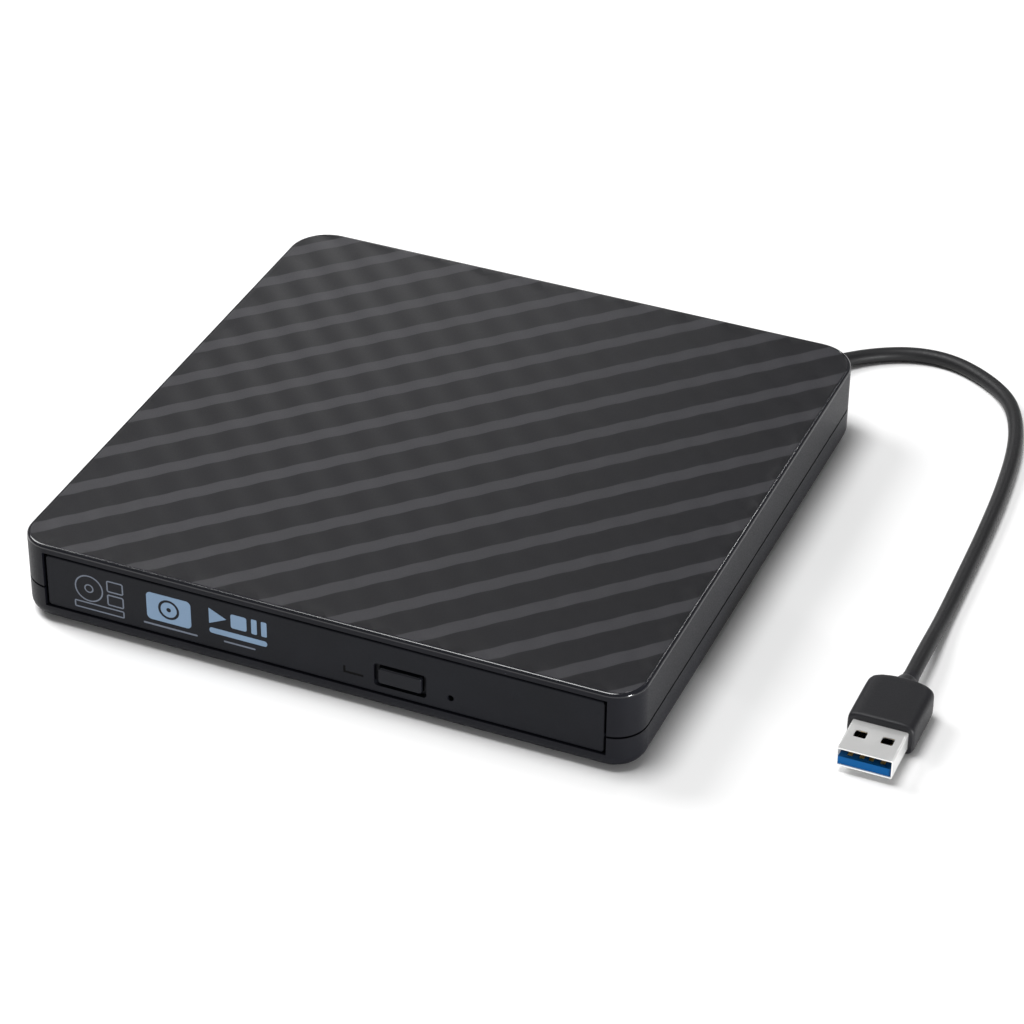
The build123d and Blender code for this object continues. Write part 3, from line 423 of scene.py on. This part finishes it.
def add_cover():
    """The top cover: a polished rim round a film with lighter stripes, shallowly corrugated across them."""
    work = welded("top_cover")
    for face in work.faces:
        if face.calc_center_median().z > ROOF - RIM and 0.05 < face.normal.z < 0.999:
            face.material_index = RIM_FACES
    roof = [face for face in work.faces if min(v.co.z for v in face.verts) > ROOF - 1e-6]
    parts = roof + list({edge for face in roof for edge in face.edges})
    parts += list({corner for face in roof for corner in face.verts})
    step = WAVE_PITCH / CUTS_PER_WAVE
    count = int(FILM_REACH / step)
    parts = cut_across(work, parts, STRIPE_ALONG, [index * step for index in range(-count, count + 1)])
    count = int(FILM_REACH / STRIPE_PITCH) + 1
    lines = []
    for index in range(-count, count + 1):
        middle = STRIPE_START + index * STRIPE_PITCH
        lines += [middle - STRIPE_WIDTH / 2, middle + STRIPE_WIDTH / 2, middle + STRIPE_PITCH / 2]
    parts = cut_across(work, parts, STRIPE_ACROSS, lines)
    for part in parts:
        if isinstance(part, bmesh.types.BMFace):
            offset = (part.calc_center_median().dot(STRIPE_ACROSS) - STRIPE_START) / STRIPE_PITCH
            from_stripe = abs(offset - round(offset)) * STRIPE_PITCH
            part.material_index = LIGHT_FACES if from_stripe < STRIPE_WIDTH / 2 else DARK_FACES
    for corner in {part for part in parts if isinstance(part, bmesh.types.BMVert)}:
        corner.co.z -= wave_sink(corner.co)
    materials = {
        PLASTIC_FACES: finish_of("cover_plastic"),
        DARK_FACES: FILM_DARK.material,
        LIGHT_FACES: FILM_LIGHT.material,
        RIM_FACES: COVER_RIM.material,
    }
    return finished("cover", work, materials.values())


placed(add_cover(), "case", "cover_plastic", "top_cover")

# ---------------------------------------------------------------- printed marks

PRINT_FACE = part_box("bezel")[0].y
PRINT_THICKNESS = 0.02 * MM
PRINT_BLUE = moulded("print_blue", (0.165, 0.255, 0.375), 0.5, depth=0.004 * MM, cloud=0.05)
PRINT_GREY = moulded("print_grey", (0.115, 0.135, 0.175), 0.5, depth=0.004 * MM, cloud=0.05)


def ring(x, z, radius, steps=48):
    """A circle's outline."""
    return [(x + radius * cos(angle), z + radius * sin(angle)) for angle in full_turn(steps)]


def tile(x_low, x_high, z_low, z_high, radius, steps=6):
    """A rounded rectangle's outline."""
    outline = []
    corners = [(x_high, z_high, 0), (x_low, z_high, 90), (x_low, z_low, 180), (x_high, z_low, 270)]
    for x, z, start in corners:
        middle_x = x - radius if x == x_high else x + radius
        middle_z = z - radius if z == z_high else z + radius
        for step in range(steps + 1):
            angle = radians(start + 90 * step / steps)
            outline.append((middle_x + radius * cos(angle), middle_z + radius * sin(angle)))
    return outline


def stroke(x_low, x_high, z_low, z_high, radius, width=0.32):
    """A rounded rectangle drawn as a line: its outer and inner outlines."""
    return [
        tile(x_low, x_high, z_low, z_high, radius),
        tile(x_low + width, x_high - width, z_low + width, z_high - width, max(radius - width, 0.05)),
    ]


def add_print(name, outlines, finish):
    """Ink on the bezel's face. An outline inside another is left bare."""
    curve = bpy.data.curves.new(name, "CURVE")
    curve.dimensions = "2D"
    curve.fill_mode = "BOTH"
    curve.extrude = PRINT_THICKNESS / 2
    for outline in outlines:
        spline = curve.splines.new("POLY")
        spline.points.add(len(outline) - 1)
        for point, (x, z) in zip(spline.points, outline):
            point.co = (x * MM, z * MM, 0, 1)
        spline.use_cyclic_u = True
    drawn = link(bpy.data.objects.new(name + "_outline", curve))
    bpy.context.view_layer.update()
    mesh = bpy.data.meshes.new_from_object(drawn)
    bpy.data.objects.remove(drawn)
    stand = Matrix.Translation((0, PRINT_FACE - PRINT_THICKNESS / 2, 0)) @ Matrix.Rotation(pi / 2, 4, "X")
    mesh.transform(stand)
    mesh.name = name
    mesh.materials.clear()
    mesh.materials.append(finish.material)
    piece = link(bpy.data.objects.new(name, mesh))
    return placed(piece, "tray", "bezel_plastic")


add_print(
    "mark_outlined",
    [ring(-53.9, 11.5, 3.4), ring(-53.9, 11.5, 3.08)]
    + [ring(-53.9, 11.5, 1.1, 32), ring(-53.9, 11.5, 0.8, 32)]
    + stroke(-49.6, -45.6, 11.9, 14.9, 0.5)
    + stroke(-49.6, -45.6, 8.4, 11.3, 0.5)
    + stroke(-57.6, -45.6, 5.95, 7.8, 0.4),
    PRINT_GREY)
add_print(
    "mark_tile",
    [
        tile(-40.1, -29.6, 7.9, 14.9, 1.1),
        ring(-34.85, 11.4, 2.5),
        ring(-34.85, 11.4, 1.9),
        ring(-34.85, 11.4, 0.55, 32),
    ],
    PRINT_BLUE)
add_print("mark_tile_line", [tile(-41.0, -28.2, 6.4, 6.85, 0.2)], PRINT_GREY)
add_print(
    "mark_row",
    [
        [(-25.3, 10.9), (-21.2, 12.9), (-25.3, 14.9)],
        tile(-20.2, -16.5, 11.1, 14.7, 0.5),
        tile(-15.4, -14.1, 11.0, 14.8, 0.3),
        tile(-13.1, -11.8, 11.0, 14.8, 0.3),
        tile(-25.3, -11.8, 8.5, 9.9, 0.6),
    ],
    PRINT_BLUE)
add_print("mark_row_line", [tile(-22.0, -14.6, 6.9, 7.3, 0.18)], PRINT_GREY)

# ---------------------------------------------------------------- USB plug

PLUG_X = 113.6 * MM
PLUG_Z = 4.0 * MM


def flattened(value, squareness):
    """A sine or cosine bent towards a square, with its sign kept."""
    return abs(value) ** (2 / squareness) * (1 if value > 0 else -1)


def loft(sections, steps=40):
    """Skin rounded sections, each (y, half width, half height, squareness), in millimetres."""
    loops = []
    for y, half_width, half_height, squareness in sections:
        loops.append([
            (
                PLUG_X + half_width * MM * flattened(cos(angle), squareness),
                y * MM,
                PLUG_Z + half_height * MM * flattened(sin(angle), squareness),
            )
            for angle in full_turn(steps)
        ])
    return skinned(loops)


def add_overmold():
    """The plug's grip and its tapering relief."""
    work = loft([
        (-42.80, 6.75, 3.45, 4.6),
        (-42.68, 7.00, 3.70, 4.8),
        (-42.35, 7.20, 3.90, 5.0),
        (-41.80, 7.28, 3.98, 5.0),
        (-38.00, 7.30, 4.00, 5.0),
        (-31.00, 7.30, 4.00, 5.0),
        (-29.20, 7.26, 3.98, 4.8),
        (-28.30, 7.02, 3.92, 4.4),
        (-27.75, 6.55, 3.84, 3.8),
        (-27.40, 5.80, 3.74, 3.2),
        (-27.20, 4.70, 3.64, 2.8),
        (-27.10, 3.40, 3.54, 2.4),
        (-26.70, 2.98, 3.40, 2.2),
        (-25.30, 2.62, 3.00, 2.0),
        (-24.20, 2.34, 2.56, 2.0),
        (-23.95, 1.95, 2.05, 2.0),
        (-21.60, 1.80, 1.80, 2.0),
        (-21.50, 1.62, 1.62, 2.0),
    ])
    return finished("plug_grip", work, [finish_of("plug_plastic")], radians(50))


plug_grip = placed(add_overmold(), "case", "plug_plastic", "plug_overmold")
cord.data.materials.append(finish_of("cord_rubber"))

# ---------------------------------------------------------------- threaded, coiled and folded pieces

SPINDLE_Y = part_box("spindle_shaft")[0].y + 1 * MM


def on_slant(along, across, height):
    """A point from its distances along and across the pick-up's run, in millimetres."""
    return Vector((
        (across - along) / sqrt(2) * MM,
        SPINDLE_Y - (along + across) / sqrt(2) * MM,
        height * MM,
    ))


SCREW_START, SCREW_END = 11.2, 58.4
THREAD_START, THREAD_END = 12.6, 56.8
SCREW_ACROSS, SCREW_HEIGHT = -15.4, 10.0
SCREW_LEAD = 3.0
SCREW_RADIUS, THREAD_ROOT, THREAD_DEPTH = 1.0, 0.80, 0.19
SCREW_STEP = 0.25


def screw_radius(along, angle):
    """The feed screw's radius, in millimetres: plain ends and a flat-topped double thread between."""
    if along < THREAD_START or along > THREAD_END:
        return SCREW_RADIUS
    thread = 0.5 + 0.5 * cos(2 * (tau * along / SCREW_LEAD - angle))
    return THREAD_ROOT + THREAD_DEPTH * min(1.0, 1.5 * thread)


def add_lead_screw():
    """The feed screw, with its double thread."""
    rows = int((SCREW_END - SCREW_START) / SCREW_STEP)
    loops = []
    for row in range(rows + 1):
        along = SCREW_START + (SCREW_END - SCREW_START) * row / rows
        loop = []
        for angle in full_turn(28):
            radius = screw_radius(along, angle)
            across = SCREW_ACROSS + radius * cos(angle)
            loop.append(on_slant(along, across, SCREW_HEIGHT + radius * sin(angle)))
        loops.append(loop)
    return finished("feed_screw", skinned(loops), [finish_of("rod_steel")])


placed(add_lead_screw(), "lead_screw", "rod_steel", "lead_screw")


def tube(points, radius, around=10):
    """A round wire along a list of points."""
    loops = []
    for index, place in enumerate(points):
        before = points[max(index - 1, 0)]
        after = points[min(index + 1, len(points) - 1)]
        ahead = (after - before).normalized()
        side = ahead.cross(Vector((0, 0, 1))).normalized()
        up = side.cross(ahead)
        loops.append([place + radius * (cos(angle) * side + sin(angle) * up) for angle in full_turn(around)])
    return skinned(loops)


def add_spring():
    """The coil that pushes the tray out when the latch lets go."""
    low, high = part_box("ejector_spring")
    middle = (low + high) / 2
    wire = 0.17 * MM
    radius = (high.x - low.x) / 2 - wire
    turns, per_turn = 13, 20
    count = turns * per_turn
    first, last = low.y + wire, high.y - wire
    points = []
    for index in range(count + 1):
        angle = tau * index / per_turn
        y = first + (last - first) * index / count
        points.append(Vector((middle.x + radius * cos(angle), y, middle.z + radius * sin(angle))))
    return finished("ejector_coil", tube(points, wire), [finish_of("rod_steel")])


spring = add_spring()
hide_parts("ejector_spring")
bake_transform(spring)


def add_ribbon():
    """The folded flex between the chassis and the tray."""
    work = welded("flex_cable")
    return finished("flex_ribbon", work, [finish_of("flex_film")])


ribbon = add_ribbon()
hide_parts("flex_cable")
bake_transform(ribbon)

# ---------------------------------------------------------------- finishes on the carried-over nodes

for node in nodes.values():
    node.data.materials[0] = finish_of(node.data.materials[0].name)

# ---------------------------------------------------------------- floor and light


FLOOR_REACH = 4.0
CASE_MIDDLE = (0, 0, 0.01)
RIGHT_CORNER = (0.06, -0.06, 0.01)


def add_floor():
    """A plain white desk."""
    mesh = bpy.data.meshes.new("floor")
    corners = [(-FLOOR_REACH, -FLOOR_REACH, 0), (FLOOR_REACH, -FLOOR_REACH, 0)]
    corners += [(FLOOR_REACH, FLOOR_REACH, 0), (-FLOOR_REACH, FLOOR_REACH, 0)]
    mesh.from_pydata(corners, [], [(0, 1, 2, 3)])
    finish = Finish("floor_white", (0.95, 0.95, 0.95), 0.9, Specular_IOR_Level=0.0)
    mesh.materials.append(finish.material)
    return link(bpy.data.objects.new("floor", mesh))


add_floor()


def add_light(name, place, aim, size, power):
    """A round soft light: its place, the point that it faces, its diameter and its watts."""
    data = bpy.data.lights.new(name, "AREA")
    data.shape = "DISK"
    data.size = size
    data.energy = power
    lamp = link(bpy.data.objects.new(name, data))
    lamp.location = place
    lamp.rotation_euler = (Vector(aim) - Vector(place)).to_track_quat("-Z", "Y").to_euler()


add_light("top_light", (-0.25, -0.12, 1.55), CASE_MIDDLE, 0.7, 17)
add_light("key_light", (-0.55, 0.10, 0.60), CASE_MIDDLE, 0.4, 3.8)
add_light("back_light", (-0.68, 1.45, 0.43), CASE_MIDDLE, 0.5, 1.8)
add_light("left_light", (-1.10, 1.20, 1.00), CASE_MIDDLE, 0.8, 0.3)
add_light("rim_light", (0.22, 1.14, 0.95), CASE_MIDDLE, 0.12, 1.0)
add_light("corner_light", (0.90, -0.50, 0.04), RIGHT_CORNER, 0.10, 9.0)

world = bpy.data.worlds.new("studio")
world.use_nodes = True
sky = world.node_tree.nodes["Background"]
sky.inputs["Color"].default_value = (1, 1, 1, 1)
sky.inputs["Strength"].default_value = 0.2
scene.world = world
scene.view_settings.view_transform = "Standard"
